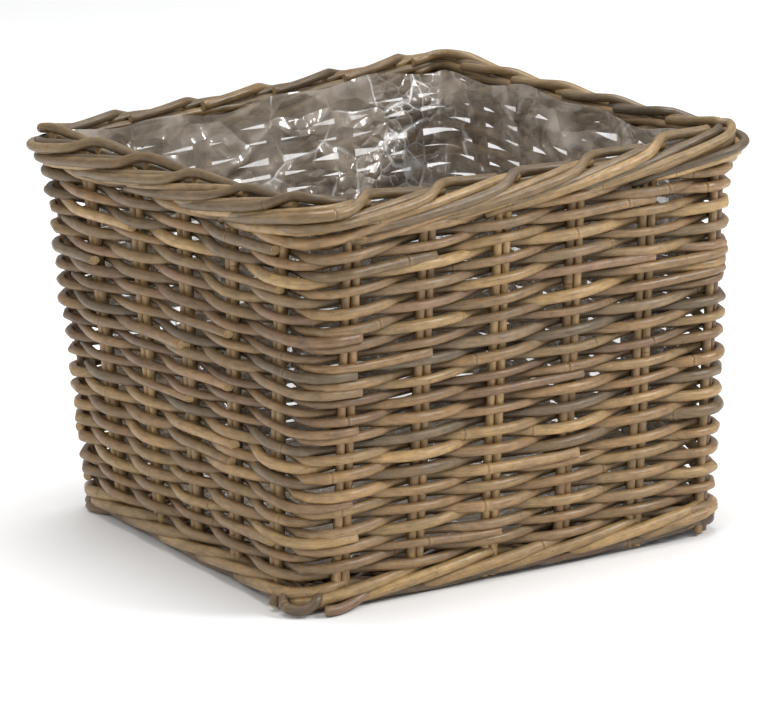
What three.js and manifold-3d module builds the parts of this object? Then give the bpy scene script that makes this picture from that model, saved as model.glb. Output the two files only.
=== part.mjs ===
// A square wicker log basket of rattan rods with a clear film liner.
// Millimetres, +Z up. The origin is the centre of the footprint, on the floor.
// +X is to the right and -Y is the front.
import * as THREE from 'three';
import { mergeVertices } from 'three/addons/utils/BufferGeometryUtils.js';
import Module from 'manifold-3d';

const wasm = await Module();
wasm.setup();

// ---- driving dimensions -------------------------------------------------
const HEIGHT = 303;                 // floor to the top of the border
const RIM_WIDTH = 400;              // across the border, both ways
const BORDER_OVERHANG = 7;          // how far the rim border stands out from the wall
const BORDER_LIP = 4;               // and how far it stands in over the liner
const FOOT_INSET = 2;               // how far the foot border stands in from the wall
const FOOT_SCALE = 0.934;           // plan size at the floor, against 1 at the rim
const FOOT_LEAN = THREE.MathUtils.degToRad(-6.3);  // turn of the plan at the floor against the rim
const CORNER_RADIUS = 30;           // outer face of the wall, at the rim
const ROD = 6.5;                    // weaving rods and stakes
const BASE_STICK = 8;
const GAP = 0.3;                    // clearance between neighbouring pieces

const FOOT_BORDER_TOP = 10;
const WEAVE_BOTTOM = 21;
const WEAVE_TOP = 276;
const BORDER_BOTTOM = 289;
const COURSES = 6;

const BASE_BOTTOM = 11;
const BASE_TOP = 25;
const BASE_STICKS = 7;
const STICK_PLAY = 2;               // between each end of a base stick and the edge of the base

const LINER_TOP = 287;
const LINER_WALL = 1.2;
const LINER_PLAY = 1.2;             // the film hangs loosely inside the wall

const STAKE_BOTTOM = 4;             // the pairs end inside the foot border and the rim border
const STAKE_TOP = 292;
const STAKE_JOIN = 0.1;             // how far the two rods of a pair run into each other
const FRONT_PAIRS = 5;              // pairs on the front, and as many on the back
const SIDE_PAIRS = 6;               // and on each side
const PAIR_SHIFT = 27.5;            // the first pair past the middle of the front left corner

// ---- worked out from them -----------------------------------------------
const WALL = 3 * ROD + 1;           // a rod, a stake and a rod, with a little play
const HALF_WALL = WALL / 2;
const WALL_LINE = RIM_WIDTH / 2 - BORDER_OVERHANG - HALF_WALL;   // half width at the stakes
const STAKE_LINE_RADIUS = CORNER_RADIUS - HALF_WALL;
const ARC_SEGMENTS = 4;
const SIDE_SEGMENTS = 3;
const THROUGH = 5;                  // how far a cutting shape runs past what it cuts
const UP = new THREE.Vector3(0, 0, 1);

// ---- materials -----------------------------------------------------------
const rattan = (color) => new THREE.MeshStandardMaterial({ color, roughness: 0.62, metalness: 0 });
const stakeRattan = rattan('#8f7355');
const weaveRattan = ['#9c8362', '#8d7657', '#a38b68'].map(rattan);
const waleRattan = rattan('#b0936a');
const borderRattan = rattan('#9a8260');
const footRattan = rattan('#6f563e');
const baseRattan = rattan('#86704f');
const film = new THREE.MeshStandardMaterial({
  color: '#e8ecee', roughness: 0.15, metalness: 0, transparent: true, opacity: 0.35,
});

// ---- shape helpers -------------------------------------------------------

// The plan of the wall: a square with round corners, offset outwards from the line of the stakes.
// Its sides are divided so that they can follow the lean.
function planPoints(offset) {
  const half = WALL_LINE + offset;
  const radius = STAKE_LINE_RADIUS + offset;
  const points = [];
  for (let quarter = 0; quarter < 4; quarter += 1) {
    const start = -Math.PI / 2 + quarter * Math.PI / 2;
    const turned = (x, y) => new THREE.Vector2(x, y).rotateAround(new THREE.Vector2(), start);
    const centre = new THREE.Vector2(half - radius, half - radius);
    for (let i = 0; i <= ARC_SEGMENTS; i += 1) {
      const angle = (i / ARC_SEGMENTS) * Math.PI / 2;
      points.push(turned(centre.x + radius * Math.cos(angle), centre.y + radius * Math.sin(angle)));
    }
    for (let i = 1; i < SIDE_SEGMENTS; i += 1) {
      points.push(turned(THREE.MathUtils.lerp(centre.x, -centre.x, i / SIDE_SEGMENTS), half));
    }
  }
  return points;
}

// Every piece is drawn upright at its rim plan, then tapered and leaned with its height.
function settle(geometry) {
  const position = geometry.attributes.position;
  const point = new THREE.Vector3();
  for (let i = 0; i < position.count; i += 1) {
    point.fromBufferAttribute(position, i);
    const height = point.z;
    const drop = 1 - height / HEIGHT;
    point.multiplyScalar(1 + (FOOT_SCALE - 1) * drop);
    point.applyAxisAngle(UP, FOOT_LEAN * drop);
    position.setXYZ(i, point.x, point.y, height);
  }
  return geometry;
}

function extruded(shape, bottom, top, steps = 1) {
  const options = { depth: top - bottom, steps, bevelEnabled: false };
  return new THREE.ExtrudeGeometry(shape, options).translate(0, 0, bottom);
}

function ring(outerOffset, innerOffset, bottom, top) {
  const shape = new THREE.Shape(planPoints(outerOffset));
  shape.holes.push(new THREE.Path(planPoints(innerOffset)));
  return extruded(shape, bottom, top);
}

function solidOf(geometry) {
  const bare = geometry.clone();
  bare.deleteAttribute('normal');
  bare.deleteAttribute('uv');
  const merged = mergeVertices(bare, 1e-4);
  const mesh = new wasm.Mesh({
    numProp: 3,
    vertProperties: merged.attributes.position.array,
    triVerts: new Uint32Array(merged.index.array),
  });
  return new wasm.Manifold(mesh);
}

function geometryOf(solid) {
  const mesh = solid.getMesh();
  const geometry = new THREE.BufferGeometry();
  geometry.setAttribute('position', new THREE.BufferAttribute(mesh.vertProperties, 3));
  geometry.setIndex(new THREE.BufferAttribute(mesh.triVerts, 1));
  geometry.computeVertexNormals();
  return geometry;
}

const basket = new THREE.Group();

function addPiece(name, geometry, material) {
  const mesh = new THREE.Mesh(geometry, material);
  mesh.name = name;
  basket.add(mesh);
}

// ---- where the stake pairs stand -----------------------------------------

const pairNames = [
  { side: 'front', pairs: FRONT_PAIRS, corner: 'front_left_corner' },
  { side: 'right', pairs: SIDE_PAIRS, corner: 'front_right_corner' },
  { side: 'back', pairs: FRONT_PAIRS, corner: 'back_right_corner' },
  { side: 'left', pairs: SIDE_PAIRS, corner: 'back_left_corner' },
].flatMap(({ side, pairs, corner }) => Array.from({ length: pairs }, (_, i) => (
  i === 0 ? `${corner}_stake_pair` : `${side}_stake_pair_${i}`
)));

// The pairs stand evenly along the line of the stakes. Each quarter of the line runs from the
// middle of one corner to the middle of the next, and quarter 0 is the front, from the left.
function pairPlace(index) {
  const reach = WALL_LINE - STAKE_LINE_RADIUS;
  const halfArc = STAKE_LINE_RADIUS * Math.PI / 4;
  const quarterLength = 2 * (reach + halfArc);
  const travelled = PAIR_SHIFT + index * 4 * quarterLength / pairNames.length;
  const quarter = Math.floor(travelled / quarterLength);
  const along = travelled - quarter * quarterLength;
  const place = { x: along - halfArc - reach, y: -WALL_LINE, turn: 0 };
  const past = Math.max(along - halfArc - 2 * reach, 0) - Math.max(halfArc - along, 0);
  if (past !== 0) {
    place.turn = past / STAKE_LINE_RADIUS;
    place.x = Math.sign(past) * reach + STAKE_LINE_RADIUS * Math.sin(place.turn);
    place.y = -reach - STAKE_LINE_RADIUS * Math.cos(place.turn);
  }
  return new THREE.Matrix4().makeRotationZ(quarter * Math.PI / 2)
    .multiply(new THREE.Matrix4().makeTranslation(place.x, place.y, 0))
    .multiply(new THREE.Matrix4().makeRotationZ(place.turn));
}

const stakePairs = pairNames.map((name, index) => ({ name, place: pairPlace(index) }));

// ---- stakes: two rods side by side, joined where they touch ---------------

function uprightRod(offset) {
  const length = STAKE_TOP - STAKE_BOTTOM;
  return new THREE.CylinderGeometry(ROD / 2, ROD / 2, length, 8)
    .rotateX(Math.PI / 2)
    .rotateZ(Math.PI / 8)
    .translate(offset, 0, STAKE_BOTTOM + length / 2);
}

const rodSpacing = ROD * Math.cos(Math.PI / 8) - STAKE_JOIN;    // between flats that face each other

for (const { name, place } of stakePairs) {
  const rods = [-1, 1].map((hand) => (
    solidOf(uprightRod(hand * rodSpacing / 2).applyMatrix4(place))
  ));
  addPiece(name, settle(geometryOf(rods[0].add(rods[1]))), stakeRattan);
}

// The way that the weaving leaves around each pair.
const ways = stakePairs.map(({ place }) => {
  const height = STAKE_TOP - STAKE_BOTTOM + 2 * GAP;
  return solidOf(new THREE.BoxGeometry(2 * ROD + 2 * GAP, ROD + 2 * GAP, height)
    .translate(0, 0, STAKE_BOTTOM - GAP + height / 2)
    .applyMatrix4(place));
});

// ---- wall, from the floor up ----------------------------------------------

function addRing(name, outerOffset, innerOffset, bottom, top, material) {
  const blank = solidOf(ring(outerOffset, innerOffset, bottom, top));
  const cut = ways.reduce((solid, way) => solid.subtract(way), blank);
  addPiece(name, settle(geometryOf(cut)), material);
}

addRing('foot_border', HALF_WALL - FOOT_INSET, -HALF_WALL, 0, FOOT_BORDER_TOP, footRattan);
addRing('lower_wale', HALF_WALL, -HALF_WALL, FOOT_BORDER_TOP + GAP, WEAVE_BOTTOM, waleRattan);

const courseHeight = (WEAVE_TOP - WEAVE_BOTTOM) / COURSES;
for (let i = 0; i < COURSES; i += 1) {
  const bottom = WEAVE_BOTTOM + i * courseHeight;
  addRing(`weave_course_${i + 1}`, HALF_WALL, -HALF_WALL, bottom + GAP, bottom + courseHeight,
    weaveRattan[i % weaveRattan.length]);
}

addRing('upper_wale', HALF_WALL, -HALF_WALL, WEAVE_TOP + GAP, BORDER_BOTTOM, waleRattan);
addRing('rim_border', HALF_WALL + BORDER_OVERHANG, -HALF_WALL - BORDER_LIP,
  BORDER_BOTTOM + GAP, HEIGHT, borderRattan);

// ---- base: parallel sticks with rods woven across them --------------------

const baseOffset = -HALF_WALL - 2 * GAP;
const baseWidth = 2 * (WALL_LINE + baseOffset);
const stickLength = baseWidth - 2 * STICK_PLAY;
const stickHeight = (BASE_BOTTOM + BASE_TOP) / 2;
const slab = extruded(new THREE.Shape(planPoints(baseOffset)), BASE_BOTTOM, BASE_TOP);
let baseWeave = solidOf(slab);

for (let i = 0; i < BASE_STICKS; i += 1) {
  const x = (i - (BASE_STICKS - 1) / 2) * (baseWidth / BASE_STICKS);
  const stick = new THREE.CylinderGeometry(BASE_STICK / 2, BASE_STICK / 2, stickLength, 8)
    .translate(x, 0, stickHeight);
  addPiece(`base_stick_${i + 1}`, settle(stick), baseRattan);
  const side = BASE_STICK + 2 * GAP;
  const way = new THREE.BoxGeometry(side, baseWidth + THROUGH, side).translate(x, 0, stickHeight);
  baseWeave = baseWeave.subtract(solidOf(way));
}
addPiece('base_weave', settle(geometryOf(baseWeave)), baseRattan);

// ---- liner: an open bag of clear film against the wall --------------------

const linerOffset = -HALF_WALL - LINER_PLAY;
const linerOutside = extruded(
  new THREE.Shape(planPoints(linerOffset)), BASE_TOP + GAP, LINER_TOP, COURSES);
const linerInside = extruded(
  new THREE.Shape(planPoints(linerOffset - LINER_WALL)), BASE_TOP + GAP + LINER_WALL, LINER_TOP + THROUGH,
  COURSES);
const liner = solidOf(linerOutside).subtract(solidOf(linerInside));
addPiece('film_liner', settle(geometryOf(liner)), film);

export default basket;
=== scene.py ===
"""A square wicker log basket of rattan rods with a clear film liner, modelled rod by rod.

Every rod is a copy of one blank, a cylinder with chamfered cut ends, bent along its own path round
the wall. The wall itself, its taper and its lean are measured from the frame's stake pairs.
"""

import math

import bmesh
import bpy
import numpy as np
from bpy.props import FloatProperty, FloatVectorProperty, IntProperty, PointerProperty
from mathutils import Matrix, Vector
from mathutils import noise as solid_noise


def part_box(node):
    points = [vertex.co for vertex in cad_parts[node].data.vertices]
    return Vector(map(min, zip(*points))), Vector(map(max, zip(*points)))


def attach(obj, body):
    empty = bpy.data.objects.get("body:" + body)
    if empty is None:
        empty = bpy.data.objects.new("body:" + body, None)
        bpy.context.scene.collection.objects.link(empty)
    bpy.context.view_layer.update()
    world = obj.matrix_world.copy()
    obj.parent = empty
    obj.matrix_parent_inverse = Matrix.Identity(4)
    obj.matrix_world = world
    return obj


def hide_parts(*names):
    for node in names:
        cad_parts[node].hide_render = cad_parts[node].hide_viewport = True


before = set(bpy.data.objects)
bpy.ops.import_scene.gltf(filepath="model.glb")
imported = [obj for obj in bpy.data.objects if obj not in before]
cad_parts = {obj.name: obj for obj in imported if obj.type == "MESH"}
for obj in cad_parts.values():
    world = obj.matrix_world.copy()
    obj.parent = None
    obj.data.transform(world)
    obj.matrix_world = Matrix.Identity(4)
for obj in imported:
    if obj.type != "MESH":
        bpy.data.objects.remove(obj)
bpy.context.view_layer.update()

bl_info = {
    "name": "Wicker log basket",
    "version": (1, 0, 0),
    "blender": (4, 5, 0),
    "location": "3D View > Sidebar > Basket",
    "description": "Weaves a square rattan log basket with a film liner, rod by rod",
    "category": "Add Mesh",
}

MM = 0.001
BODY = "root"
RODS_SUFFIX = "_rods"


def linear(code):
    """An sRGB hex colour as linear red, green and blue."""
    parts = [int(code[i:i + 2], 16) / 255 for i in (1, 3, 5)]
    return tuple(c / 12.92 if c <= 0.04045 else ((c + 0.055) / 1.055) ** 2.4 for c in parts)


# ---- the wall, measured from the frame -------------------------------------------------------

SIDES = (("front", 5), ("right", 6), ("back", 5), ("left", 6))     # stake pairs on each side
CORNERS = ("front_left_corner", "front_right_corner", "back_right_corner", "back_left_corner")
PAIR_NAMES = [
    f"{side}_stake_pair_{step}" if step else f"{corner}_stake_pair"
    for (side, pairs), corner in zip(SIDES, CORNERS) for step in range(pairs)]
SPACES = len(PAIR_NAMES)
COURSES = 6
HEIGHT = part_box("rim_border")[1].z
CORNER_RADIUS = 19.75 * MM    # of the line of the stakes, at the rim
HALF_ARC = CORNER_RADIUS * math.pi / 4
EVERY_CORNER_ALIKE = (0, 0, 0, 0)


def pair_ends(name):
    """The middle of a stake pair at its foot and at its top."""
    points = np.unique([np.round(v.co, 6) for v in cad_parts[name].data.vertices], axis=0)
    low, high = points[:, 2].min(), points[:, 2].max()
    return [points[np.abs(points[:, 2] - level) < MM].mean(0) for level in (low, high)]


def measure_wall():
    """Lean and narrowing of the wall from rim to floor, half the width of the line of the stakes
    at the rim, and how far the first pair stands past the middle of its corner."""
    foot, top = pair_ends(PAIR_NAMES[0])
    foot_drop, top_drop = 1 - foot[2] / HEIGHT, 1 - top[2] / HEIGHT
    foot_radius, top_radius = math.hypot(*foot[:2]), math.hypot(*top[:2])
    turn = math.atan2(foot[1], foot[0]) - math.atan2(top[1], top[0])
    lean = turn / (foot_drop - top_drop)
    narrowing = (top_radius - foot_radius) / (top_radius * foot_drop - foot_radius * top_drop)
    back, scale = -lean * top_drop, 1 - narrowing * top_drop
    x = (top[0] * math.cos(back) - top[1] * math.sin(back)) / scale
    half = -(top[0] * math.sin(back) + top[1] * math.cos(back)) / scale
    start = x + half - CORNER_RADIUS + HALF_ARC
    return {"lean": lean, "narrowing": narrowing, "half": half, "start": start}


WALL = measure_wall()
REACH = WALL["half"] - CORNER_RADIUS              # half of the straight part of a side
QUARTER = 2 * (REACH + HALF_ARC)                  # from the middle of one corner to the next
SPACING = 4 * QUARTER / SPACES                    # between stake pairs
CORNER_PLACES = [(quarter * QUARTER - WALL["start"]) / SPACING for quarter in range(4)]

FOOT_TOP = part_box("foot_border")[1].z
WEAVE_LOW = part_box("weave_course_1")[0].z
WEAVE_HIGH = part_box(f"weave_course_{COURSES}")[1].z
BORDER_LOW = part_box("rim_border")[0].z
BASE_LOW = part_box("base_weave")[0].z
BASE_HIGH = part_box("base_weave")[1].z
LINER_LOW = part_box("film_liner")[0].z
LINER_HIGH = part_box("film_liner")[1].z


def wall_points(along, out, height):
    """Points by the wall: along counts stake spaces round from the first pair, out is the distance
    from the line of the stakes, and height is above the floor, in metres."""
    along, out, height = np.broadcast_arrays(along, out, height)
    quarter, travelled = np.divmod(WALL["start"] + along * SPACING, QUARTER)
    straight = np.clip(travelled - HALF_ARC, 0, 2 * REACH) - REACH
    turn = (travelled - HALF_ARC - REACH - straight) / CORNER_RADIUS
    x = straight + (CORNER_RADIUS + out) * np.sin(turn)
    y = -REACH - (CORNER_RADIUS + out) * np.cos(turn)
    drop = 1 - height / HEIGHT
    angle = quarter * math.pi / 2 + WALL["lean"] * drop
    scale = 1 - WALL["narrowing"] * drop
    return np.stack([
        scale * (x * np.cos(angle) - y * np.sin(angle)),
        scale * (x * np.sin(angle) + y * np.cos(angle)),
        height,
    ], axis=-1)


def standing_out(points):
    """How far points stand out from the line of the stakes: negative inside the basket."""
    drop = 1 - points[:, 2] / HEIGHT
    angle, scale = -WALL["lean"] * drop, 1 - WALL["narrowing"] * drop
    x = (points[:, 0] * np.cos(angle) - points[:, 1] * np.sin(angle)) / scale
    y = (points[:, 0] * np.sin(angle) + points[:, 1] * np.cos(angle)) / scale
    past = np.abs(np.stack([x, y], axis=1)) - REACH
    corner = np.linalg.norm(np.maximum(past, 0), axis=1)
    return corner + np.minimum(past.max(1), 0) - CORNER_RADIUS


def nearness(along, place, reach=2.75):
    """1 at that place round the wall, falling to 0 at reach stake spaces from it."""
    apart = np.abs((along - place + SPACES / 2) % SPACES - SPACES / 2)
    return np.clip(1 - apart / reach, 0, 1)


# ---- sizes and colours that a user would change ----------------------------------------------

class BasketSizes(bpy.types.PropertyGroup):
    """Thicknesses of the rods and how they lie."""

    weaver: FloatProperty(
        name="Weaver", description="Mean thickness of the side rods",
        default=7.8 * MM, unit="LENGTH")
    stake: FloatProperty(
        name="Stake", description="Thickness of the upright rods",
        default=7 * MM, unit="LENGTH")
    wale: FloatProperty(
        name="Wale", description="Thickness of the roped rods above and below the weave",
        default=8 * MM, unit="LENGTH")
    border: FloatProperty(
        name="Border", description="Thickness of the rods rolled over the rim",
        default=7.7 * MM, unit="LENGTH")
    rows: IntProperty(
        name="Rows", description="Rows of rods in the side weave", default=37, min=3)
    film_play: FloatProperty(
        name="Film play", description="How far the folds of the film stand off the wall",
        default=9 * MM, unit="LENGTH")
    seed: IntProperty(name="Seed", description="Which rods come out of the bundle", default=11)


class BasketColours(bpy.types.PropertyGroup):
    """Colours of the bark, the cut ends, the film and the stage."""

    straw: FloatVectorProperty(
        name="Straw", description="Palest bark", subtype="COLOR", default=linear("#ac8d5e"))
    tan: FloatVectorProperty(
        name="Tan", description="Commonest bark", subtype="COLOR", default=linear("#8e704b"))
    grey: FloatVectorProperty(
        name="Grey", description="Weathered bark", subtype="COLOR", default=linear("#77654c"))
    russet: FloatVectorProperty(
        name="Russet", description="Reddish bark", subtype="COLOR", default=linear("#82644a"))
    umber: FloatVectorProperty(
        name="Umber", description="Darkest bark", subtype="COLOR", default=linear("#4f3b29"))
    pith: FloatVectorProperty(
        name="Pith", description="Cut ends", subtype="COLOR", default=linear("#bca57c"))
    # the colour of the painted highlights along the liner's creases
    film: FloatVectorProperty(
        name="Film", description="Creases of the liner", subtype="COLOR",
        default=linear("#f4f6f7"))
    haze: FloatVectorProperty(
        name="Haze", description="Haze of the liner", subtype="COLOR", default=linear("#b8ac9d"))
    floor: FloatVectorProperty(
        name="Floor", description="Studio floor", subtype="COLOR", default=linear("#f6f6f5"))


def sizes():
    return bpy.context.scene.basket_sizes


def colours():
    return bpy.context.scene.basket_colours


# ---- rods -------------------------------------------------------------------------------------

ROD_SIDES = 12
RING_STEP = 5 * MM            # between the rings of a rod, so that it bends smoothly
TIP_RISE = 0.13               # the chamfer of a cut end, in radii
KNOT_GAPS = (210 * MM, 430 * MM)
KNOT_SWELL, KNOT_REACH = 0.06, 5 * MM               # a knot's extra thickness, and how far it runs
LUMP_SWELL, LUMP_LENGTH = 0.035, 41 * MM            # the slow swelling of the rod along its length
BLANKS = {}


def deselect_all():
    for item in bpy.context.selected_objects:
        item.select_set(False)
    bpy.context.view_layer.objects.active = None


def rod_blank(rings):
    """A straight rod with that many rings, as arrays: a cylinder whose ends are inset into a
    chamfered cut and whose sides are divided along the length."""
    if rings in BLANKS:
        return BLANKS[rings]
    deselect_all()
    bpy.ops.mesh.primitive_cylinder_add(vertices=ROD_SIDES, radius=1, depth=1)
    blank = bpy.context.object
    bpy.ops.object.mode_set(mode="EDIT")
    bpy.ops.mesh.select_all(action="DESELECT")
    mesh = bmesh.from_edit_mesh(blank.data)
    for edge in mesh.edges:
        low, high = sorted(vertex.co.z for vertex in edge.verts)
        edge.select_set(high - low > 0.5)
    bmesh.update_edit_mesh(blank.data)
    if rings > 2:
        bpy.ops.mesh.subdivide(number_cuts=rings - 2)
    bpy.ops.mesh.select_all(action="DESELECT")
    bpy.ops.mesh.select_mode(type="FACE")
    mesh = bmesh.from_edit_mesh(blank.data)
    for face in mesh.faces:
        face.select_set(len(face.verts) == ROD_SIDES)
    bmesh.update_edit_mesh(blank.data)
    bpy.ops.mesh.inset(thickness=TIP_RISE, depth=TIP_RISE, use_individual=True)
    bpy.ops.object.mode_set(mode="OBJECT")
    points = np.array([vertex.co for vertex in blank.data.vertices])
    share = np.clip(points[:, 2] + 0.5, 0, 1)
    BLANKS[rings] = {
        "ring": np.rint(share * (rings - 1)).astype(int),
        "tip": points[:, 2] + 0.5 - share,
        "across": points[:, :2],
        "loops": [loop.vertex_index for loop in blank.data.loops],
        "totals": [face.loop_total for face in blank.data.polygons],
        "ends": [face.loop_total == ROD_SIDES for face in blank.data.polygons],
    }
    bpy.data.objects.remove(blank)
    return BLANKS[rings]


def turned_frames(path):
    """Tangents of a path, with two directions across it that turn as little as they can."""
    tangents = np.gradient(path, axis=0)
    tangents /= np.linalg.norm(tangents, axis=1)[:, None]
    guide = np.array([0.0, 0.0, 1.0]) if abs(tangents[0][2]) < 0.8 else np.array([1.0, 0.0, 0.0])
    across = np.empty_like(path)
    for i, tangent in enumerate(tangents):
        guide = guide - tangent * (guide @ tangent)
        guide /= np.linalg.norm(guide)
        across[i] = guide
    return tangents, across, np.cross(tangents, across)


def evenly(path, step):
    """The same path with points about one step apart."""
    lengths = np.linalg.norm(np.diff(path, axis=0), axis=1)
    travelled = np.concatenate([[0], np.cumsum(lengths)])
    count = max(4, int(math.ceil(travelled[-1] / step)) + 1)
    places = np.linspace(0, travelled[-1], count)
    return np.stack([np.interp(places, travelled, path[:, k]) for k in range(3)], axis=1), places


def rod(path, thickness, random, step=RING_STEP, taper=0.0, slants=(0.15, 0.15)):
    """One rod: its path and what its bark is like. Growth rings swell it a little. slants say how
    steeply its two ends are cut, so that the cuts face outwards, in radii."""
    path, along = evenly(np.asarray(path), step)
    knot_gap = random.uniform(*KNOT_GAPS)
    knot_shift = random.uniform(0, knot_gap)
    to_knot = np.abs((along + knot_shift) / knot_gap % 1 - 0.5) * knot_gap
    swell = 1 + KNOT_SWELL * np.exp(-(to_knot / KNOT_REACH) ** 2)
    lumps = 1 + LUMP_SWELL * np.sin(along / LUMP_LENGTH + random.uniform(0, 6))
    narrowing = 1 - taper * along / along[-1]
    return {
        "path": path,
        "radius": thickness / 2 * swell * lumps * narrowing,
        "along": along,
        "start": random.uniform(0, 50),
        "knot": (along + knot_shift) / knot_gap,
        "knot_gap": knot_gap,
        "tint": random.uniform(0, 1),
        "shade": random.uniform(0, 1),
        "slants": slants,
    }


def add_attribute(mesh, name, kind, values):
    attribute = mesh.attributes.new(name, kind, "POINT")
    key = "vector" if kind == "FLOAT_VECTOR" else "value"
    attribute.data.foreach_set(key, np.asarray(values, np.float32).ravel())


def lay_rods(name, rods, bark):
    """One piece made of rods: each is a copy of the blank, laid along its path."""
    parts = {key: [] for key in (
        "points", "loops", "totals", "ends", "grain", "knot", "knot_gap", "tint", "shade", "out")}
    base = 0
    for item in rods:
        blank = rod_blank(len(item["path"]))
        ring, across = blank["ring"], blank["across"]
        tangents, side, up = turned_frames(item["path"])
        radius = item["radius"][ring][:, None]
        tip = blank["tip"].copy()
        for end, sign, slant in ((0, -1, item["slants"][0]), (ring.max(), 1, item["slants"][1])):
            tip[ring == end] += sign * slant * (1 - across[ring == end, 1])
        points = item["path"][ring] + radius * (
            side[ring] * across[:, :1] + up[ring] * across[:, 1:]
            + tangents[ring] * tip[:, None])
        parts["points"].append(points)
        parts["out"].append(standing_out(points))
        parts["loops"].append(np.array(blank["loops"]) + base)
        parts["totals"].append(blank["totals"])
        parts["ends"].append(blank["ends"])
        parts["grain"].append(np.column_stack([
            across * radius, item["along"][ring] + tip * radius[:, 0] + item["start"]]))
        parts["knot"].append(item["knot"][ring])
        for key in ("knot_gap", "tint", "shade"):
            parts[key].append(np.full(len(ring), item[key]))
        base += len(ring)
    joined = {key: np.concatenate(values) for key, values in parts.items()}
    mesh = bpy.data.meshes.new(name)
    mesh.vertices.add(len(joined["points"]))
    mesh.vertices.foreach_set("co", joined["points"].astype(np.float32).ravel())
    mesh.loops.add(len(joined["loops"]))
    mesh.loops.foreach_set("vertex_index", joined["loops"].astype(np.int32))
    mesh.polygons.add(len(joined["totals"]))
    totals = joined["totals"].astype(np.int32)
    mesh.polygons.foreach_set("loop_start", np.concatenate([[0], np.cumsum(totals)[:-1]]))
    mesh.polygons.foreach_set("use_smooth", ~joined["ends"].astype(bool))
    mesh.polygons.foreach_set("material_index", joined["ends"].astype(np.int32))
    add_attribute(mesh, "grain", "FLOAT_VECTOR", joined["grain"])
    for key in ("knot", "knot_gap", "tint", "shade", "out"):
        add_attribute(mesh, key, "FLOAT", joined[key])
    mesh.materials.append(bark)
    mesh.materials.append(finish("cut_pith"))
    mesh.update(calc_edges=True)
    mesh.validate()
    piece = bpy.data.objects.new(name, mesh)
    bpy.context.scene.collection.objects.link(piece)
    return piece


def stand_for(piece, slot, *nodes):
    """The piece rides on the basket's body, in place of those CAD nodes."""
    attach(piece, BODY)
    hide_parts(*nodes)


def make_piece(node_name, rods, bark, slot, suffix=RODS_SUFFIX):
    """The rods as one piece, in place of that CAD node."""
    stand_for(lay_rods(node_name + suffix, rods, finish(bark)), slot, node_name)


def smooth_path(keys, steps=14):
    """A smooth run through rows of key values, by Catmull-Rom."""
    keys = np.asarray(keys, float)
    padded = np.vstack([2 * keys[0] - keys[1], keys, 2 * keys[-1] - keys[-2]])
    share = np.linspace(0, 1, steps, endpoint=False)[:, None]
    runs = []
    for a, b, c, d in zip(padded, padded[1:], padded[2:], padded[3:]):
        runs.append(0.5 * (2 * b + (c - a) * share + (2 * a - 5 * b + 4 * c - d) * share ** 2
                           + (3 * b - a - 3 * c + d) * share ** 3))
    runs.append(keys[-1:])
    return np.vstack(runs)


# ---- materials ----------------------------------------------------------------------------------

def node(tree, kind, links=(), **settings):
    """Adds a node. Settings are its own properties, or input sockets as in_NAME or in_NUMBER.
    Links are (socket name or number, output) pairs."""
    made = tree.nodes.new(kind)
    for key, value in settings.items():
        if key.startswith("in_"):
            socket = key[3:].replace("_", " ")
            made.inputs[int(socket) if socket.isdigit() else socket].default_value = value
        else:
            setattr(made, key, value)
    for socket, output in links:
        tree.links.new(output, made.inputs[socket])
    return made


def new_material(name):
    material = bpy.data.materials.new(name)
    material.use_nodes = True
    tree = material.node_tree
    tree.nodes.clear()
    return material, tree


def value_of(tree, name):
    return node(tree, "ShaderNodeAttribute", attribute_name=name).outputs["Fac"]


def curve(tree, source, stops):
    """A colour ramp over that value: stops are (place, colour) pairs."""
    ramp = node(tree, "ShaderNodeValToRGB", [("Fac", source)])
    elements = ramp.color_ramp.elements
    while len(elements) < len(stops):
        elements.new(1.0)
    for element, (place, colour) in zip(elements, stops):
        element.position = place
        element.color = (*colour, 1) if len(colour) == 3 else colour
    return ramp.outputs["Color"]


def grey(level):
    return (level, level, level)


def mixed(tree, blend, share, first, second):
    """Two colours mixed. share is a number or an output."""
    made = node(tree, "ShaderNodeMix", data_type="RGBA", blend_type=blend)
    for index, source in ((0, share), (6, first), (7, second)):
        if isinstance(source, bpy.types.NodeSocket):
            tree.links.new(source, made.inputs[index])
        else:
            made.inputs[index].default_value = source if index == 0 else (*source, 1)
    return made.outputs[2]


def noise(tree, vector, per_metre, detail=3.0, roughness=0.55):
    """Noise over the rod's own measure: per_metre is how many patches fit in a metre, round the
    rod, across it, and along it."""
    scaled = node(tree, "ShaderNodeVectorMath", [(0, vector)], operation="MULTIPLY", in_1=per_metre)
    return node(tree, "ShaderNodeTexNoise", [("Vector", scaled.outputs[0])], in_Scale=1.0,
                in_Detail=detail, in_Roughness=roughness).outputs["Fac"]


def math_node(tree, operation, *values, clamp=False):
    made = node(tree, "ShaderNodeMath", operation=operation, use_clamp=clamp)
    for index, source in enumerate(values):
        if isinstance(source, bpy.types.NodeSocket):
            tree.links.new(source, made.inputs[index])
        else:
            made.inputs[index].default_value = source
    return made.outputs[0]


def band(tree, distance, width):
    """1 at no distance, falling to 0 at that width, both in the same unit."""
    return math_node(tree, "SUBTRACT", 1.0, math_node(tree, "DIVIDE", distance, width), clamp=True)


# painted shade: the bark is darkened on the inside of the basket and behind the stakes, by how far
# it stands out from the line of the stakes
PAINTED_SHADE_STOPS = [(0.1, grey(0.48)), (0.45, grey(0.6)), (0.68, grey(0.9)), (0.9, grey(1.06))]
PAINTED_SHADE_REACH = 12 * MM          # either side of the line of the stakes
KNOT_RING = 1 * MM            # half the width of a knot's dark ring
KNOT_LIP, LIP_WIDTH = 1.9 * MM, 1.5 * MM            # where its pale lip lies, and its half width


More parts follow.
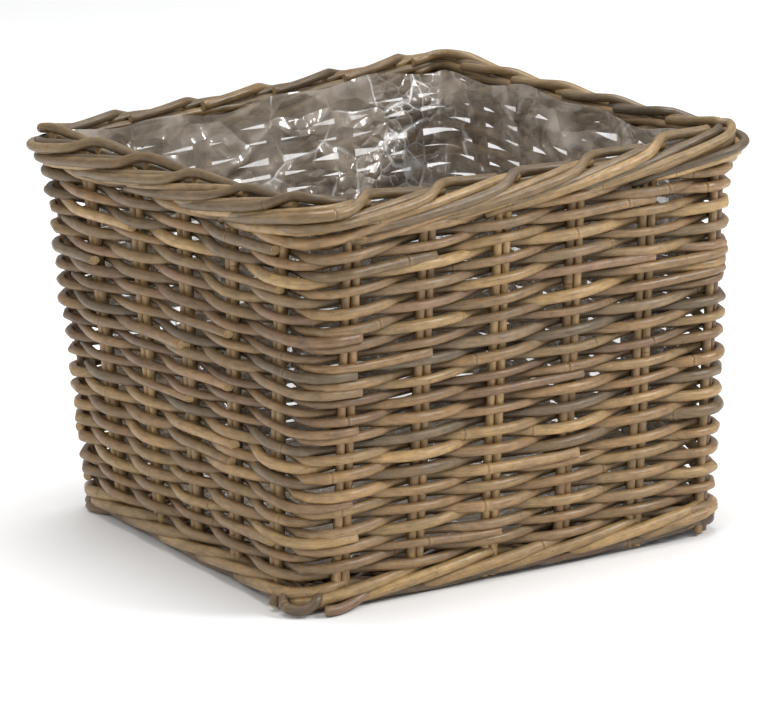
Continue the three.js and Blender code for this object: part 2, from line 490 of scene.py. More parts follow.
def rattan_bark(name, tones, shade_low=0.72, shade_high=1.2, grey_share=0.5, painted_shade=1.0):
    """Rattan with its bark on, soaked until it greys: a hard satin skin with fine fibres along it,
    grey and warm patches, and a faint dark ring with a pale lip at each growth knot. Painted shade
    darkens it behind the stakes and on the inside of the basket. tones are the bark colours that
    the bundle is mixed from, and painted_shade is how much of the painted shade is laid on."""
    material, tree = new_material(name)
    palette = colours()
    grain = node(tree, "ShaderNodeAttribute", attribute_name="grain").outputs["Vector"]
    tint, shade = value_of(tree, "tint"), value_of(tree, "shade")
    knot, knot_gap = value_of(tree, "knot"), value_of(tree, "knot_gap")

    places = np.linspace(0, 1, len(tones))
    colour = curve(tree, tint, [(p, getattr(palette, tone)) for p, tone in zip(places, tones)])
    # weathering: patches 5 to 20 cm long
    patches = noise(tree, grain, (60, 60, 11), detail=2.0)
    weather = curve(tree, patches, [(0.42, grey(0)), (0.66, grey(1))])
    weathered = mixed(tree, "MIX", math_node(tree, "MULTIPLY", weather, grey_share),
                      colour, tuple(palette.grey))
    # warm stains a few cm long
    stains = noise(tree, grain, (140, 140, 34), detail=4.0)
    stain = curve(tree, stains, [(0.55, grey(0)), (0.74, grey(1))])
    stained = mixed(tree, "MIX", math_node(tree, "MULTIPLY", stain, 0.4),
                    weathered, tuple(palette.russet))
    # mottling of 4 to 10 mm, where the bark was scraped and handled
    mottle = noise(tree, grain, (230, 230, 105), detail=3.0, roughness=0.65)
    mottled = mixed(tree, "MULTIPLY", 1.0, stained, curve(
        tree, mottle, [(0.3, grey(0.72)), (0.5, grey(1.0)), (0.7, grey(1.24))]))
    # fibres 0.5 mm wide and 2 cm long; real ones are finer and wouldn't show
    fibres = noise(tree, grain, (1900, 1900, 55), detail=2.0, roughness=0.6)
    streaked = mixed(tree, "MULTIPLY", 1.0, mottled,
                     curve(tree, fibres, [(0.28, grey(0.7)), (0.5, grey(0.98)), (0.75, grey(1.2))]))
    # dark flecks of 1 to 3 mm
    flecks = noise(tree, grain, (520, 520, 260), detail=3.0, roughness=0.7)
    fleck = curve(tree, flecks, [(0.6, grey(0)), (0.68, grey(1))])
    flecked = mixed(tree, "MIX", math_node(tree, "MULTIPLY", fleck, 0.5),
                    streaked, tuple(palette.umber))
    # the knot: distance along the rod to the nearest growth ring
    place = math_node(tree, "ABSOLUTE", math_node(
        tree, "SUBTRACT", math_node(tree, "FRACT", knot), 0.5))
    distance = math_node(tree, "MULTIPLY", place, knot_gap)
    lip = band(tree, math_node(tree, "ABSOLUTE", math_node(
        tree, "SUBTRACT", distance, KNOT_LIP)), LIP_WIDTH)
    ring = band(tree, distance, KNOT_RING)
    lipped = mixed(tree, "MIX", math_node(tree, "MULTIPLY", lip, 0.35), flecked,
                   tuple(palette.straw))
    ringed = mixed(tree, "MIX", math_node(tree, "MULTIPLY", ring, 0.5), lipped,
                   tuple(palette.umber))
    shaded = mixed(tree, "MULTIPLY", 1.0, ringed,
                   curve(tree, shade, [(0, grey(shade_low)), (1, grey(shade_high))]))
    # painted shade: darker on the inside and behind the stakes, a little lighter on the outermost
    # humps
    painted_shade_place = math_node(tree, "MULTIPLY_ADD", value_of(tree, "out"), 1 / (2 * PAINTED_SHADE_REACH), 0.5)
    with_painted_shade = mixed(tree, "MULTIPLY", painted_shade, shaded, curve(tree, painted_shade_place, PAINTED_SHADE_STOPS))

    gloss = curve(tree, patches, [(0.3, grey(0.30)), (0.7, grey(0.52))])
    height = math_node(tree, "ADD", math_node(tree, "MULTIPLY", fibres, 0.35), math_node(
        tree, "MULTIPLY", ring, -0.9))
    lumps = noise(tree, grain, (190, 190, 90), detail=2.0)
    bump = node(tree, "ShaderNodeBump", [("Height", math_node(tree, "ADD", height, lumps))],
                in_Strength=0.7, in_Distance=0.55 * MM)
    surface = node(tree, "ShaderNodeBsdfPrincipled",
                   [("Base Color", with_painted_shade), ("Roughness", gloss), ("Normal", bump.outputs[0])],
                   in_IOR=1.5)
    node(tree, "ShaderNodeOutputMaterial", [("Surface", surface.outputs[0])])
    return material


def cut_pith(name):
    """Rattan cut across: pale dry pith with the dark mouths of its vessels, quite matt."""
    material, tree = new_material(name)
    palette = colours()
    grain = node(tree, "ShaderNodeAttribute", attribute_name="grain").outputs["Vector"]
    pores = noise(tree, grain, (2200, 2200, 300), detail=2.0, roughness=0.6)
    colour = curve(tree, pores, [
        (0.38, palette.umber), (0.48, palette.straw), (0.62, palette.pith)])
    bump = node(tree, "ShaderNodeBump", [("Height", pores)], in_Strength=0.6, in_Distance=0.3 * MM)
    surface = node(tree, "ShaderNodeBsdfPrincipled",
                   [("Base Color", colour), ("Normal", bump.outputs[0])], in_Roughness=0.85)
    node(tree, "ShaderNodeOutputMaterial", [("Surface", surface.outputs[0])])
    return material


FACETS, SMALL_FACETS = 24, 85 # per metre: where the film lies flat, and where it is crumpled
LONG_CREASE_HIGHLIGHT, SHORT_CREASE_HIGHLIGHT = 0.035, 0.07             # widths of the painted highlight lines along the creases, in facets
FILM_RELIEF = 11 * MM


def clear_film(name):
    """Clear polythene film, crumpled, the same on both sides: it shows what is behind it through a
    patchy haze and glints where its facets turn to the lights. White painted highlights run along
    a few of its creases."""
    material, tree = new_material(name)
    where = node(tree, "ShaderNodeTexCoord").outputs["Object"]

    def patches(per_metre, detail, distortion=0.0, squash=(1, 1, 1)):
        laid = node(tree, "ShaderNodeVectorMath", [(0, where)], operation="MULTIPLY", in_1=squash)
        return node(tree, "ShaderNodeTexNoise", [("Vector", laid.outputs[0])], in_Scale=per_metre,
                    in_Detail=detail, in_Distortion=distortion).outputs["Fac"]

    def facets(per_metre, distortion):
        """Distance from the nearest straight crease, in cells, where the film was folded flat."""
        bend = node(tree, "ShaderNodeTexNoise", [("Vector", where)], in_Scale=per_metre * 0.6,
                    in_Detail=2.0).outputs["Color"]
        bent = node(tree, "ShaderNodeVectorMath", [(0, bend), (2, where)],
                    operation="MULTIPLY_ADD", in_1=(distortion,) * 3)
        return node(tree, "ShaderNodeTexVoronoi", [("Vector", bent.outputs[0])],
                    feature="DISTANCE_TO_EDGE", in_Scale=per_metre).outputs["Distance"]

    large, small = facets(FACETS, 0.03), facets(SMALL_FACETS, 0.012)
    crumpled = curve(tree, patches(14, 2.0, 0.4), [(0.5, grey(0.06)), (0.62, grey(1))])
    relief = math_node(tree, "ADD", large, math_node(
        tree, "MULTIPLY", math_node(tree, "MULTIPLY", small, 0.42), crumpled))
    relief = math_node(tree, "ADD", relief, math_node(
        tree, "MULTIPLY", patches(30, 1.0, 0.6), 0.8))
    bump = node(tree, "ShaderNodeBump", [("Height", relief)],
                in_Strength=1.0, in_Distance=FILM_RELIEF)

    # the film's haze and its painted highlights grow towards the hem
    upwards = node(tree, "ShaderNodeSeparateXYZ", [("Vector", where)]).outputs["Z"]
    hem_ramp = curve(tree, math_node(tree, "DIVIDE", upwards, HEIGHT), [
        (0.5, grey(0.55)), (0.88, grey(1.0))])
    # painted highlights: white lines along the creases, in a few places
    long = math_node(tree, "MULTIPLY", band(tree, large, LONG_CREASE_HIGHLIGHT), curve(
        tree, patches(17, 2.0), [(0.5, grey(0)), (0.58, grey(0.9))]))
    short = math_node(tree, "MULTIPLY", band(tree, small, SHORT_CREASE_HIGHLIGHT), curve(
        tree, patches(16, 2.0, 0.4), [(0.6, grey(0)), (0.68, grey(0.6))]))
    painted_highlight = math_node(tree, "MULTIPLY", math_node(tree, "MAXIMUM", long, short), hem_ramp)
    haze = mixed(tree, "MULTIPLY", 1.0, hem_ramp, curve(
        tree, patches(19, 3.0, 0.8, (1, 1, 0.4)), [
            (0.36, grey(0.3)), (0.5, grey(0.48)), (0.68, grey(0.72))]))
    facing = node(tree, "ShaderNodeLayerWeight", in_Blend=0.3).outputs["Facing"]
    turned = curve(tree, facing, [(0.2, grey(0.0)), (1.0, grey(0.3))])
    # the painted highlights also make the film white and nearly opaque along those lines
    cover = mixed(tree, "SCREEN", 1.0, mixed(tree, "SCREEN", 1.0, haze, turned), painted_highlight)
    colour = mixed(tree, "MIX", painted_highlight, tuple(colours().haze), tuple(colours().film))
    # alpha thins the shine too, so the index is raised to keep it as strong as real film's
    surface = node(tree, "ShaderNodeBsdfPrincipled",
                   [("Alpha", cover), ("Base Color", colour), ("Normal", bump.outputs[0])],
                   in_Roughness=0.17, in_IOR=1.8, in_Specular_IOR_Level=1.0)
    node(tree, "ShaderNodeOutputMaterial", [("Surface", surface.outputs[0])])
    return material


def painted_floor(name):
    """A studio floor, rolled with matt white paint."""
    material, tree = new_material(name)
    where = node(tree, "ShaderNodeTexCoord").outputs["Object"]
    mottle = node(tree, "ShaderNodeTexNoise", [("Vector", where)], in_Scale=3.0).outputs["Fac"]
    base = colours().floor
    colour = curve(tree, mottle, [(0.3, [c * 0.985 for c in base]), (0.7, base)])
    surface = node(tree, "ShaderNodeBsdfPrincipled", [("Base Color", colour)], in_Roughness=0.9)
    node(tree, "ShaderNodeOutputMaterial", [("Surface", surface.outputs[0])])
    return material


FINISHES = {
    "weave_bark": lambda name: rattan_bark(
        name, ("grey", "tan", "straw", "tan", "russet", "tan", "tan"), 0.7, 1.2, 0.45),
    "stake_bark": lambda name: rattan_bark(
        name, ("russet", "straw", "tan", "straw", "tan"), 0.95, 1.4, 0.3),
    "wale_bark": lambda name: rattan_bark(
        name, ("tan", "straw", "tan", "straw", "tan"), 0.75, 1.1),
    # the rim's rods get half of the painted shade, the last number below
    "border_bark": lambda name: rattan_bark(
        name, ("tan", "straw", "grey", "tan", "straw", "tan"), 0.47, 0.87, 0.5, 0.5),
    "foot_bark": lambda name: rattan_bark(name, ("umber", "grey", "russet", "umber"), 0.8, 1.0),
    "base_bark": lambda name: rattan_bark(name, ("tan", "grey", "russet", "tan"), 0.8, 1.05),
    "cut_pith": cut_pith,
    "clear_film": clear_film,
    "painted_floor": painted_floor,
}


def finish(name):
    """That finish's material, made the first time that it is asked for."""
    return bpy.data.materials.get(name) or FINISHES[name](name)


# ---- side weave ---------------------------------------------------------------------------------

SPACE_STEPS = 12              # points of a path between two stake pairs
PAIR_LIFT = 0.85 * MM         # how unevenly a rod lies in height where it passes a pair
ROW_LIFT = 0.4 * MM           # how unevenly the rows are spaced
WHOLE_ROWS = 0.65             # the share of the rows that are woven of one rod
THICKNESS_SPREAD, THINNEST, THICKEST = 0.7 * MM, 6 * MM, 8.8 * MM


def wander(along, height):
    """How far the rows sag or ride up together, as hand-packed rows do."""
    return (1.3 * MM * np.sin(0.9 * along + 17 * height)
            + 0.8 * MM * np.sin(2.1 * along - 31 * height))


def woven_path(start, end, sides, height, random, room):
    """A rod that passes each stake pair on the side that sides gives, 1 outside and -1 inside.
    room is how far its middle stands from the line of the stakes."""
    pairs = np.arange(math.floor(start), math.ceil(end) + 1)
    side = np.array([sides(pair) for pair in pairs]) * random.normal(0.9, 0.08, len(pairs))
    lift = random.normal(0, PAIR_LIFT, len(pairs))
    along = np.arange(start, end + 1e-6, 1 / SPACE_STEPS)
    before = np.clip(np.floor(along).astype(int) - pairs[0], 0, len(pairs) - 2)
    share = 0.5 - 0.5 * np.cos(math.pi * (along - pairs[before]))
    out = room * (side[before] + (side[before + 1] - side[before]) * share)
    rise = lift[before] + (lift[before + 1] - lift[before]) * share
    return wall_points(along, out, height + wander(along, height) + rise)


def weave_row(row, random):
    """The rods of one row. A rod ends in front of a pair that the row passes behind, where the
    next rod starts behind it, so that both ends rest on the stakes."""
    size = sizes()
    pitch = (WEAVE_HIGH - WEAVE_LOW) / size.rows
    height = WEAVE_LOW + pitch * (row + 0.5) + random.normal(0, ROW_LIFT)
    start = 2 * int(random.integers(0, SPACES // 2)) + row % 2
    lengths = [SPACES] if random.uniform() < WHOLE_ROWS else [2 * int(random.integers(4, 8))]
    if sum(lengths) < SPACES:
        lengths.append(SPACES - sum(lengths))
    rods = []
    for length in lengths:
        end = start + length
        thickness = np.clip(random.normal(size.weaver, THICKNESS_SPREAD), THINNEST, THICKEST)

        def side_of(pair, last=end):
            usual = 1 if (pair + row) % 2 == 1 else -1
            return 1 if pair >= last else usual

        lead, tail = random.uniform(8, 14) * MM / SPACING, random.uniform(3, 9) * MM / SPACING
        path = woven_path(start - lead, end + tail, side_of, height, random,
                          (size.stake + thickness) / 2)
        slants = (random.uniform(0.1, 0.4), random.uniform(0.2, 0.8))
        rods.append(rod(path, thickness, random, taper=random.uniform(0, 0.12), slants=slants))
        start = end
    return rods


class OBJECT_OT_basket_weave(bpy.types.Operator):
    """Weave the sides, row by row, between the lower and the upper wale"""

    bl_idname = "object.basket_weave"
    bl_label = "Side weave"

    def execute(self, context):
        random = np.random.default_rng(sizes().seed)
        rows = sizes().rows
        courses = [[] for _ in range(COURSES)]
        for row in range(rows):
            courses[row * COURSES // rows] += weave_row(row, random)
        for index, rods in enumerate(courses):
            make_piece(f"weave_course_{index + 1}", rods, "weave_bark", "weave_rattan")
        return {"FINISHED"}


# ---- stakes -------------------------------------------------------------------------------------

class OBJECT_OT_basket_stakes(bpy.types.Operator):
    """Stand the pairs of upright rods"""

    bl_idname = "object.basket_stakes"
    bl_label = "Stake pairs"

    def execute(self, context):
        random = np.random.default_rng(sizes().seed + 1)
        for index, name in enumerate(PAIR_NAMES):
            low, high = (corner.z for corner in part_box(name))
            heights = np.linspace(low, high, 40)
            rods = []
            for hand in (-1, 1):
                apart = (sizes().stake / 2 + 0.2 * MM) * hand + random.normal(0, 0.3 * MM)
                bow = random.normal(0, 0.5 * MM) * np.sin(heights / HEIGHT * math.pi * 2)
                path = wall_points(index + apart / SPACING, bow, heights)
                thickness = sizes().stake * random.uniform(0.97, 1.1)
                rods.append(rod(path, thickness, random, step=9 * MM, taper=0.08))
            make_piece(name, rods, "stake_bark", "stake_rattan")
        return {"FINISHED"}


# ---- wales --------------------------------------------------------------------------------------

WALE_PERIOD = 3               # each rod passes two pairs outside and one inside
WALE_LENGTHS = (15, 25)       # of its rods, in stake spaces
WALE_LEAD, WALE_TAIL = 0.12, 0.14                   # how far a rod's ends pass its pairs
UPPER_CLIMB, LOWER_CLIMB = 16 * MM, 14 * MM         # of a rod over the two pairs it passes outside
UPPER_THINNESS = 0.93         # of the upper wale's rods, to the lower's
# At each corner: how much higher the rods run, and how far they spring out.
UPPER_RISES = (-2 * MM, 3 * MM, 0, 0)
LOWER_RISES = (-3 * MM, 5 * MM, 1 * MM, 0)
UPPER_SPRINGS = (0, 8 * MM, 0, 3 * MM)


def wale_rods(middle, climb, room, thickness, random, rises, springs):
    """Three rods roped round the wall: each passes outside two pairs, climbing, and inside one.
    They run higher by rises and spring out at each corner."""
    rods = []
    lengths = []
    while sum(lengths) < WALE_PERIOD * SPACES:
        lengths.append(int(random.integers(*WALE_LENGTHS)))
    lengths[-1] -= sum(lengths) - WALE_PERIOD * SPACES
    start = 0.0
    for length in [n for n in lengths if n > 2]:
        end = start + length
        along = np.arange(start - WALE_LEAD, end + WALE_TAIL, 1 / SPACE_STEPS)
        phase = along / WALE_PERIOD % 1
        outside = phase < 2 / 3
        swing = np.where(outside, np.sin(phase * 1.5 * math.pi) ** 0.7,
                         -np.sin((phase - 2 / 3) * 3 * math.pi))
        rise = np.where(outside, phase * 1.5 * 2 - 1, 1 - (phase - 2 / 3) * 3 * 2)
        height = middle + climb / 2 * rise + wander(along, middle) * 0.6
        out = room * swing
        for place, higher, spring in zip(CORNER_PLACES, rises, springs):
            height = height + higher * nearness(along, place, 4) ** 2
            out = out + spring * nearness(along, place) ** 4 * (swing > 0)
        thick = thickness * random.uniform(0.9, 1.1)
        rods.append(rod(wall_points(along, out, height), thick, random))
        start = end
    return rods


class OBJECT_OT_basket_wales(bpy.types.Operator):
    """Rope three rods round the foot and three more under the border"""

    bl_idname = "object.basket_wales"
    bl_label = "Wales"

    def execute(self, context):
        random = np.random.default_rng(sizes().seed + 2)
        thick = sizes().wale
        room = sizes().stake / 2 + thick / 2
        upper = (WEAVE_HIGH + BORDER_LOW) / 2
        lower = (FOOT_TOP + WEAVE_LOW) / 2 - 2 * MM
        for name, middle, climb, thickness, rises, springs in (
                ("upper_wale", upper, UPPER_CLIMB, thick * UPPER_THINNESS, UPPER_RISES,
                 UPPER_SPRINGS),
                ("lower_wale", lower, LOWER_CLIMB, thick, LOWER_RISES, EVERY_CORNER_ALIKE)):
            rods = wale_rods(middle, climb, room, thickness, random, rises, springs)
            make_piece(name, rods, "wale_bark", "wale_rattan")
        return {"FINISHED"}


# ---- borders ------------------------------------------------------------------------------------

CORNER_RISES = (7 * MM, 5 * MM, 4 * MM, 1 * MM)    # how much higher the rim stands at each corner
CORNER_SPRINGS = (3 * MM, 8 * MM, 3 * MM, 6.5 * MM)  # how far its rods spring out there

# Each row: stake spaces past its own pair, distance out and height above the border's lower edge
# in millimetres, and for the foot above the floor.
ROLLED_ROD = (
    (-0.22, -1, -17), (0.0, 4, -12), (0.5, 9.2, -8), (1.0, 11.2, -3.6), (1.5, 11.2, 0.8),
    (1.85, 8.4, 4.4), (2.02, 4, 8), (2.14, -1, 10.6), (2.3, -5, 10.6), (2.6, -7.2, 8.6),
    (2.98, -8, 6.4),
)
INNER_ROD = (
    (-0.04, 0, -18), (0.0, -1, -9), (0.1, -3, -3.4), (0.4, -5.6, 0.6), (1.0, -6.6, 2),
    (1.5, -6.4, 1), (1.95, -6.8, -2.6),
)
OUTER_ROD = (
    (-0.1, -1, -14), (0.05, 5, -9), (0.5, 8.2, -5), (1.0, 8.4, -0.4), (1.5, 5.4, 4),
    (1.9, 0.6, 6.4), (2.2, -2, 6),
)
FOOT_ROD = (
    (-0.05, 0, 14), (0.12, 1.6, 9.4), (0.5, 2.4, 7), (1.0, 2.6, 5), (1.5, 1, 3.9), (2.0, -3, 3.7),
    (2.4, -8, 3.9),
)
# At each corner one rod is looped out under the wale and back, with a stub and a tail beside it.
CORNER_LOOP = (
    (-0.18, 2, 12), (-0.17, 10, 9.5), (-0.12, 14.4, 5), (-0.03, 16, 3.6), (0.05, 15.4, 4.6),
    (0.11, 12, 9), (0.14, 3, 12),
)
CORNER_STUB = ((-0.32, 2, 13), (-0.32, 9, 9), (-0.28, 13, 3.7))
CORNER_TAIL = ((0.75, 4, 9), (0.6, 8, 6), (0.42, 12.4, 3.9), (0.28, 15.4, 3.6), (0.18, 16, 3.8))
FOOT_CLEAR = 1.5 * MM         # added to the heights above, so that no rod reaches below the floor
FOOT_RISES = (0, 6 * MM, 0, 0)
CORNER_TUCKS = (0, 10 * MM, 10 * MM, 8 * MM)        # how far in the corner's rods are tucked
CORNER_THICKNESS = 1.08       # of those rods, to a stake's
BORDER_WANDER = 0.5 * MM


def border_path(index, keys, base, random, springs=EVERY_CORNER_ALIKE,
                rises=EVERY_CORNER_ALIKE, tuck=0):
    """A border rod from its key points, which springs out and rises at each corner. tuck moves it
    inwards."""
    keys = smooth_path(keys)
    along = index + keys[:, 0]
    out = keys[:, 1] * MM + random.normal(0, BORDER_WANDER) - tuck
    height = base + keys[:, 2] * MM + random.normal(0, BORDER_WANDER)
    for place, spring, rise in zip(CORNER_PLACES, springs, rises):
        near = nearness(along, place)
        out = out + spring * near ** 4 * (keys[:, 1] > 0)
        height = height + rise * near ** 2
    return wall_points(along, out, height - np.mean(rises) * 0.25)


class OBJECT_OT_basket_border(bpy.types.Operator):
    """Roll a rod from each stake pair over the rim, with its cut end along the top, and lay a
    second along the inside and a third along the outside"""

    bl_idname = "object.basket_border"
    bl_label = "Rim border"

    def execute(self, context):
        random = np.random.default_rng(sizes().seed + 3)
        rods = []
        for index in range(SPACES):
            thick = sizes().border * random.uniform(0.86, 1.04)
            springs = np.array(CORNER_SPRINGS) * random.uniform(0.45, 1)
            rolled = border_path(index, ROLLED_ROD, BORDER_LOW, random, springs, CORNER_RISES)
            rods.append(rod(rolled, thick, random, step=3.5 * MM, slants=(0, 0.1)))
            for keys in (INNER_ROD, OUTER_ROD):
                path = border_path(index, keys, BORDER_LOW, random, rises=CORNER_RISES)
                rods.append(rod(path, thick * random.uniform(0.88, 1), random, step=4 * MM))
        make_piece("rim_border", rods, "border_bark", "border_rattan")
        return {"FINISHED"}


class OBJECT_OT_basket_foot(bpy.types.Operator):
    """Turn the lower ends of the stakes under the base as a standing foot"""

    bl_idname = "object.basket_foot"
    bl_label = "Foot border"

    def execute(self, context):
        random = np.random.default_rng(sizes().seed + 4)
        rods = []
        for index in range(SPACES):
            thick = sizes().stake * random.uniform(0.98, 1.06)
            path = border_path(index, FOOT_ROD, FOOT_CLEAR, random, rises=FOOT_RISES)
            rods.append(rod(path, thick, random, step=4 * MM))
        for place, tuck in zip(CORNER_PLACES, CORNER_TUCKS):
            for keys in (CORNER_LOOP, CORNER_STUB, CORNER_TAIL):
                path = border_path(place, keys, FOOT_CLEAR, random, rises=FOOT_RISES, tuck=tuck)
                rods.append(rod(path, sizes().stake * CORNER_THICKNESS, random, step=3 * MM))
        make_piece("foot_border", rods, "foot_bark", "foot_rattan")
        return {"FINISHED"}


# ---- base ---------------------------------------------------------------------------------------

BASE_STICKS = 7
STICK_THICKNESS, BASE_WEAVER = 7 * MM, 5.2 * MM
BASE_INSET = 10.5 * MM        # from the line of the stakes to the edge of the base
BASE_DROP = 1.5 * MM          # of the sticks below the middle of the CAD slab
BASE_WANDER = 0.0015          # how unevenly the rods are packed, in the base's own measure


def base_points(across, along, height):
    """Points of the base, in its own leaned plan: both measures run from -1 to 1 in the wall."""
    inside = WALL["half"] - BASE_INSET
    drop = 1 - np.asarray(height) / HEIGHT
    scale, angle = 1 - WALL["narrowing"] * drop, WALL["lean"] * drop
    x, y = across * inside * scale, along * inside * scale
    return np.stack(np.broadcast_arrays(
        x * np.cos(angle) - y * np.sin(angle), x * np.sin(angle) + y * np.cos(angle), height),
        axis=-1)


class OBJECT_OT_basket_base(bpy.types.Operator):
    """Lay the base sticks and weave rods across them"""

    bl_idname = "object.basket_base"
    bl_label = "Woven base"

    def execute(self, context):
        random = np.random.default_rng(sizes().seed + 5)
        middle = (BASE_LOW + BASE_HIGH) / 2 - BASE_DROP
        places = (np.arange(BASE_STICKS) - (BASE_STICKS - 1) / 2) * 2 / BASE_STICKS
        for index, place in enumerate(places):
            path = base_points(place, np.linspace(-0.985, 0.985, 30),
                               middle + random.normal(0, 0.2 * MM))
            stick = rod(path, STICK_THICKNESS * random.uniform(0.95, 1.05), random, step=9 * MM)
            make_piece(f"base_stick_{index + 1}", [stick], "base_bark", "base_rattan", "_rod")
        rods = []
        # packed side by side over 95 % of the base, each with 4 % of its thickness to spare
        rows = int(2 * (WALL["half"] - 10 * MM) * 0.95 / (BASE_WEAVER * 1.04))
        across = np.linspace(-0.99, 0.99, 90)
        for row, place in enumerate(np.linspace(-0.975, 0.975, rows)):
            swing = np.cos(math.pi * (across * BASE_STICKS / 2 + row + 0.5 * (BASE_STICKS % 2)
                                      - 0.5))
            height = middle + (STICK_THICKNESS + BASE_WEAVER) / 2 * 0.92 * swing
            path = base_points(across, place + random.normal(0, BASE_WANDER), height)
            rods.append(rod(path, BASE_WEAVER * random.uniform(0.9, 1.1), random, step=6 * MM))
        make_piece("base_weave", rods, "base_bark", "base_rattan")
        return {"FINISHED"}


# ---- liner --------------------------------------------------------------------------------------

FILM_CLEAR = 12.4 * MM        # from the line of the stakes to the film, clear of the inner rods
FILM_HEM = 5 * MM             # how far the film reaches above the weave, tucked into the border
FILM_LIFT = 1.5 * MM          # of the film's floor above the bottom of its CAD solid
HEM_WAVE = 2.5 * MM
HEM_GRIP = 22 * MM            # the folds grow to their full depth over this much below the hem
CORNER_SLACK = 9 * MM         # how far the film cuts across each corner
FLOOR_PLAY = 0.5              # depth of the folds on the floor, to those on the wall
FILM_AROUND, FILM_UP, FILM_INWARD = 600, 96, 26     # points round it, up it and across its floor
# Each row: crests per metre, how far they are drawn out upright, share of the film's play, and
# sharpness.
FILM_RIDGES = ((15, 0.35, 0.75, 2), (34, 0.6, 0.4, 2), (80, 1, 0.13, 1))


def ridges(points, per_metre, squash, shift):
    """Sharp winding ridges, 1 along the top of a ridge and 0 well away from it."""
    laid = (points * squash + shift) * per_metre
    return np.array([1 - min(1, 2.6 * abs(solid_noise.noise(Vector(point)))) for point in laid])


class OBJECT_OT_basket_liner(bpy.types.Operator):
    """Hang the crumpled film inside the wall and over the base"""

    bl_idname = "object.basket_liner"
    bl_label = "Film liner"

    def execute(self, context):
        random = np.random.default_rng(sizes().seed + 6)
        along = np.arange(FILM_AROUND) * SPACES / FILM_AROUND
        hem = LINER_HIGH + FILM_HEM + HEM_WAVE * (np.sin(along * 1.7) + np.sin(along * 4.3 + 2))
        low = LINER_LOW + FILM_LIFT
        rings = [wall_points(along, -FILM_CLEAR, hem + (low - hem) * share)
                 for share in np.linspace(0, 1, FILM_UP)]
        floor_ring = rings[-1]
        for share in np.linspace(0, 0.985, FILM_INWARD)[1:]:
            rings.append(floor_ring * (1 - share, 1 - share, 1))
        points = np.concatenate(rings)
        shift = random.uniform(1, 9, 3)
        depth = sizes().film_play * sum(
            share * ridges(points, per_metre, (1, 1, drawn), shift) ** power
            for per_metre, drawn, share, power in FILM_RIDGES)
        on_wall = np.repeat(np.arange(len(rings)) < FILM_UP, FILM_AROUND)
        corner = sum(nearness(np.tile(along, len(rings)), place, 0.9) ** 1.5
                     for place in CORNER_PLACES)
        below_hem = np.clip((np.tile(hem, len(rings)) - points[:, 2]) / HEM_GRIP, 0, 1)
        inward = -points * (1, 1, 0)
        inward /= np.maximum(np.linalg.norm(inward, axis=1), MM)[:, None]
        push = (depth + CORNER_SLACK * corner) * below_hem * on_wall
        points = points + inward * push[:, None]
        points[:, 2] += depth * ~on_wall * FLOOR_PLAY
        points = np.vstack([points, points[-FILM_AROUND:].mean(0)])
        step = np.arange(FILM_AROUND)
        after = (step + 1) % FILM_AROUND
        faces = []
        for ring in range(len(rings) - 1):
            a, b = ring * FILM_AROUND + step, ring * FILM_AROUND + after
            faces += np.stack([a, a + FILM_AROUND, b + FILM_AROUND, b], axis=1).tolist()
        last = (len(rings) - 1) * FILM_AROUND
        faces += [(last + a, len(points) - 1, last + b) for a, b in zip(step, after)]
        mesh = bpy.data.meshes.new("film_liner_sheet")
        mesh.from_pydata(points.tolist(), [], faces)
        mesh.polygons.foreach_set("use_smooth", np.ones(len(mesh.polygons), bool))
        mesh.materials.append(finish("clear_film"))
        piece = bpy.data.objects.new("film_liner_sheet", mesh)
        bpy.context.scene.collection.objects.link(piece)
        stand_for(piece, "liner_film", "film_liner")
        return {"FINISHED"}


# ---- stage --------------------------------------------------------------------------------------

CAMERA_AZIMUTH = math.radians(-34.4)
CAMERA_ELEVATION = math.radians(15.0)
CAMERA_ROLL = math.radians(-2.3)
CAMERA_DISTANCE = 4.53
CAMERA_LENS = 286.6
SENSOR_WIDTH = 36
CLIP_END = 60
LOOK_HEIGHT = 0.1224
LOOK_RIGHT = -0.0054
FLOOR_RADIUS = 14
SKY_COLOUR, SKY_STRENGTH = "#fbfcff", 0.55
LIGHTS_AIM = Vector((0, 0, 0.15))
LIGHTS = (                    # place and width in metres, and power in watts
    ("softbox_right", (1.7, -1.9, 2.2), 1.1, 60),
    ("softbox_left", (-2.4, -1.2, 1.7), 1.2, 16),
    ("overhead", (0.1, 0.2, 2.8), 1.8, 60),
)


def add_light(name, place, size, power):
    light = bpy.data.lights.new(name, "AREA")
    light.shape = "DISK"
    light.size = size
    light.energy = power
    lamp = bpy.data.objects.new(name, light)
    lamp.location = place
    lamp.rotation_euler = (LIGHTS_AIM - Vector(place)).to_track_quat("-Z", "Y").to_euler()
    bpy.context.scene.collection.objects.link(lamp)


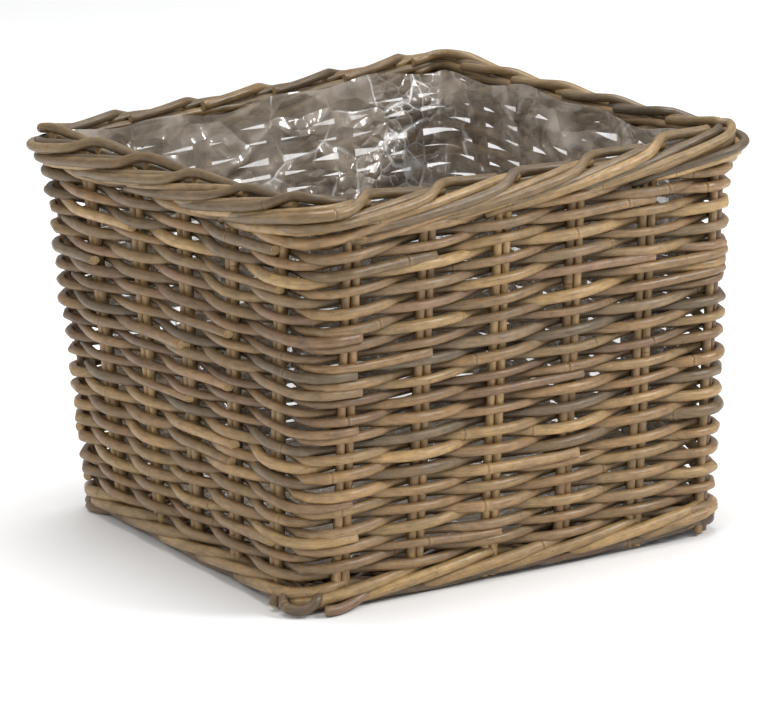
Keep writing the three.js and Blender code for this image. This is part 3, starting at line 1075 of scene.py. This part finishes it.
class OBJECT_OT_basket_stage(bpy.types.Operator):
    """Set the floor, the soft lights and the camera"""

    bl_idname = "object.basket_stage"
    bl_label = "Stage"

    def execute(self, context):
        scene = bpy.context.scene
        deselect_all()
        bpy.ops.mesh.primitive_circle_add(vertices=96, radius=FLOOR_RADIUS, fill_type="NGON")
        floor = bpy.context.object
        floor.name = "studio_floor"
        floor.data.materials.append(finish("painted_floor"))

        world = bpy.data.worlds.new("studio")
        world.use_nodes = True
        background = world.node_tree.nodes["Background"]
        background.inputs["Color"].default_value = (*linear(SKY_COLOUR), 1)
        background.inputs["Strength"].default_value = SKY_STRENGTH
        scene.world = world
        for light in LIGHTS:
            add_light(*light)

        camera_data = bpy.data.cameras.new("camera")
        camera_data.lens = CAMERA_LENS
        camera_data.sensor_width = SENSOR_WIDTH
        camera_data.clip_end = CLIP_END
        camera = bpy.data.objects.new("camera", camera_data)
        back = Vector((
            math.sin(CAMERA_AZIMUTH) * math.cos(CAMERA_ELEVATION),
            -math.cos(CAMERA_AZIMUTH) * math.cos(CAMERA_ELEVATION),
            math.sin(CAMERA_ELEVATION)))
        right = Vector((math.cos(CAMERA_AZIMUTH), math.sin(CAMERA_AZIMUTH), 0))
        target = right * LOOK_RIGHT + Vector((0, 0, LOOK_HEIGHT))
        camera.location = target + back * CAMERA_DISTANCE
        turn = (-back).to_track_quat("-Z", "Y").to_matrix() @ Matrix.Rotation(CAMERA_ROLL, 3, "Z")
        camera.rotation_euler = turn.to_euler()
        scene.collection.objects.link(camera)
        scene.camera = camera
        scene.view_settings.view_transform = "Standard"
        return {"FINISHED"}


# ---- panel and running --------------------------------------------------------------------------

STEPS = (
    OBJECT_OT_basket_stage,
    OBJECT_OT_basket_foot,
    OBJECT_OT_basket_base,
    OBJECT_OT_basket_stakes,
    OBJECT_OT_basket_wales,
    OBJECT_OT_basket_weave,
    OBJECT_OT_basket_border,
    OBJECT_OT_basket_liner,
)


class VIEW3D_PT_basket(bpy.types.Panel):
    """The basket's sizes, colours and steps"""

    bl_label = "Wicker log basket"
    bl_idname = "VIEW3D_PT_basket"
    bl_space_type = "VIEW_3D"
    bl_region_type = "UI"
    bl_category = "Basket"

    def draw(self, context):
        for group in (context.scene.basket_sizes, context.scene.basket_colours):
            column = self.layout.column(align=True)
            for name in group.bl_rna.properties.keys():
                if name not in {"rna_type", "name"}:
                    column.prop(group, name)
        for step in STEPS:
            self.layout.operator(step.bl_idname)


CLASSES = (BasketSizes, BasketColours, *STEPS, VIEW3D_PT_basket)


def register():
    for item in CLASSES:
        bpy.utils.register_class(item)
    bpy.types.Scene.basket_sizes = PointerProperty(type=BasketSizes)
    bpy.types.Scene.basket_colours = PointerProperty(type=BasketColours)


def unregister():
    del bpy.types.Scene.basket_sizes
    del bpy.types.Scene.basket_colours
    for item in reversed(CLASSES):
        bpy.utils.unregister_class(item)


def main():
    register()
    for step in STEPS:
        area, name = step.bl_idname.split(".")
        getattr(getattr(bpy.ops, area), name)()


if __name__ == "__main__":
    main()
